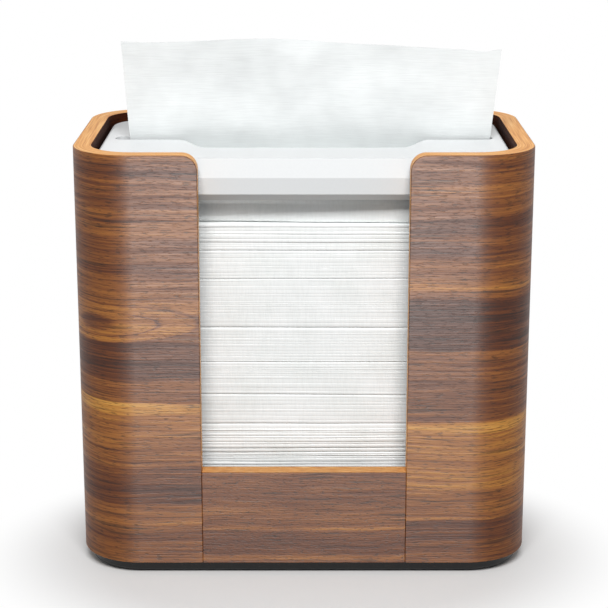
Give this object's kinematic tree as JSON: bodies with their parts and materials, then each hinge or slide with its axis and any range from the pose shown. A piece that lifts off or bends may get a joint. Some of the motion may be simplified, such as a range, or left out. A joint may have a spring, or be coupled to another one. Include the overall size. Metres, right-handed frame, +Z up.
{
  "type": "napkin dispenser",
  "caption": "Tabletop napkin dispenser: rounded walnut plywood box with a front window, black base, weighted white lid with a slot, and a stack of interfolded paper napkins.",
  "frame": {"origin": "on the table, under the middle of the box's plan", "axes": "+Z up, +X to the right as the window is looked at, and the window faces -Y"},
  "size_m": [0.198, 0.124, 0.227],
  "materials": {
    "walnut_ply": "satin walnut veneer, plies on show at the edges",
    "plain_wood": "plain sanded beech",
    "black_plastic": "glossy black",
    "white_plastic": "glossy white",
    "foot_rubber": "matt black rubber",
    "screw_steel": "zinc plated",
    "weight_steel": "plain rolled steel",
    "napkin_paper": "white tissue paper"
  },
  "bodies": {
    "box": {"wood_shell": "walnut_ply", "front_panel": "walnut_ply", "base_tray": "black_plastic", "floor_board": "plain_wood", "napkin_stack": "napkin_paper", "raised_napkin": "napkin_paper", "panel_dowel_1": "plain_wood", "panel_dowel_2": "plain_wood", "panel_dowel_3": "plain_wood", "panel_dowel_4": "plain_wood", "corner_block_1": "plain_wood", "corner_block_2": "plain_wood", "corner_block_3": "plain_wood", "corner_block_4": "plain_wood", "base_screw_1": "screw_steel", "base_screw_2": "screw_steel", "base_screw_3": "screw_steel", "base_screw_4": "screw_steel", "foot_1": "foot_rubber", "foot_2": "foot_rubber", "foot_3": "foot_rubber", "foot_4": "foot_rubber"},
    "lid": {"lid_cover": "white_plastic", "lid_weight_front": "weight_steel", "lid_weight_back": "weight_steel", "lid_liner_front": "white_plastic", "lid_liner_back": "white_plastic", "lid_screw_1": "screw_steel", "lid_screw_2": "screw_steel", "lid_screw_3": "screw_steel", "lid_screw_4": "screw_steel", "lid_screw_5": "screw_steel", "lid_screw_6": "screw_steel"}
  },
  "joints": [
    {"name": "lid_lift", "type": "slide", "parent": "box", "child": "lid", "axis": [0, 0, 1], "range_m": [0, 0.07]}
  ]
}
